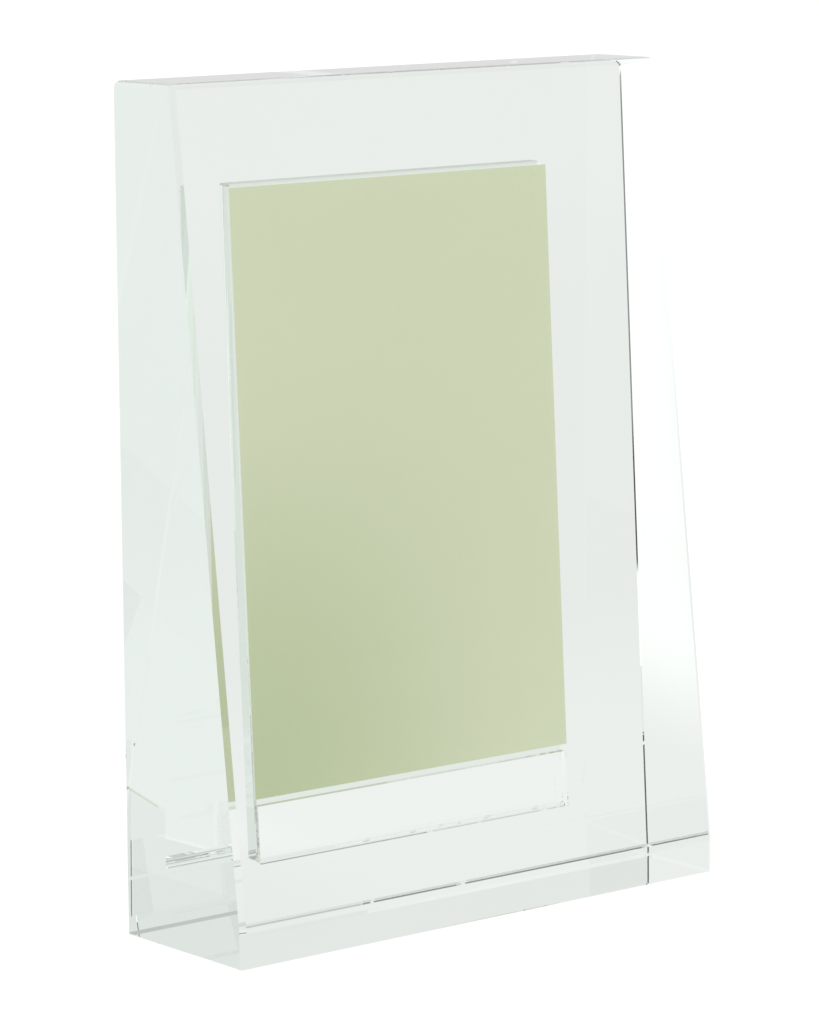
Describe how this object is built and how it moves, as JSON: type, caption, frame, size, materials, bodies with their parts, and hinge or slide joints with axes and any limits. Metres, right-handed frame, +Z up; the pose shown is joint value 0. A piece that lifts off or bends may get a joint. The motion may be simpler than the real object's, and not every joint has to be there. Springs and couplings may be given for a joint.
{
  "type": "photo frame",
  "caption": "Free-standing clear crystal wedge with a bonded rear plate, which leaves a slot open at the top for an upright photo card seen through the wedge.",
  "frame": {"origin": "centre of the flat underside of the crystal block", "axes": "+Z up, -Y the way the sloping front faces, +X to the right as seen from the front"},
  "size_m": [0.1544, 0.0522, 0.212],
  "materials": {
    "crystal": "polished clear optical crystal, faint green",
    "plate_glass": "polished clear glass",
    "clear_adhesive": "clear acrylic adhesive",
    "card": "coated card, sage green print"
  },
  "bodies": {
    "frame": {"crystal_block": "crystal", "rear_plate": "plate_glass", "bond_strip": "clear_adhesive"},
    "card": {"insert_card": "card"}
  },
  "joints": [
    {"name": "card_slide", "type": "slide", "parent": "frame", "child": "card", "axis": [0, 0, 1], "range_m": [-0.0014, 0.185]}
  ]
}
